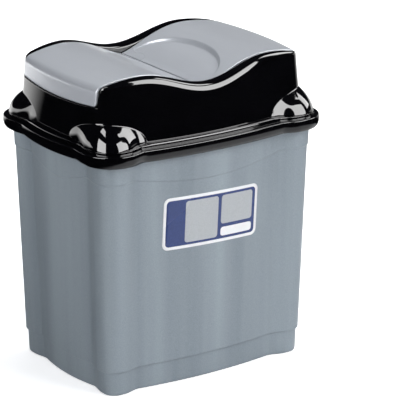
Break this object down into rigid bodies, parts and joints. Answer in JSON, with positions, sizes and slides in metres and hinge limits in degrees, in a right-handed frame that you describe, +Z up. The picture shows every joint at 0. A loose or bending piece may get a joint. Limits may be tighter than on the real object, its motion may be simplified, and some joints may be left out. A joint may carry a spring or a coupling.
{
  "type": "countertop waste bin",
  "caption": "Small tapered countertop waste bin with inset panels and a lift-off domed cover whose swing flaps tip inwards on stub axles and fall shut.",
  "frame": {"origin": "middle of the bin's footprint, on the surface it stands on", "axes": "+Z up, +X along the bin's length towards the right flap, +Y across it away from the labelled side"},
  "size_m": [0.225, 0.1672, 0.26],
  "materials": {
    "bucket": "satin",
    "cover": "gloss",
    "flap": "satin"
  },
  "bodies": {
    "bucket": {"bucket": "bucket"},
    "cover": {"cover": "cover"},
    "flap_left": {"flap_left": "flap"},
    "flap_right": {"flap_right": "flap"}
  },
  "joints": [
    {"name": "cover_lift", "type": "slide", "parent": "bucket", "child": "cover", "axis": [0, 0, 1], "range_m": [0, 0.12]},
    {"name": "flap_left_swing", "type": "hinge", "parent": "cover", "child": "flap_left", "pos_m": [-0.05, 0, 0.25193], "axis": [0, 1, 0], "range_deg": [0, 80]},
    {"name": "flap_right_swing", "type": "hinge", "parent": "cover", "child": "flap_right", "pos_m": [0.05, 0, 0.25193], "axis": [0, -1, 0], "range_deg": [0, 80]}
  ]
}
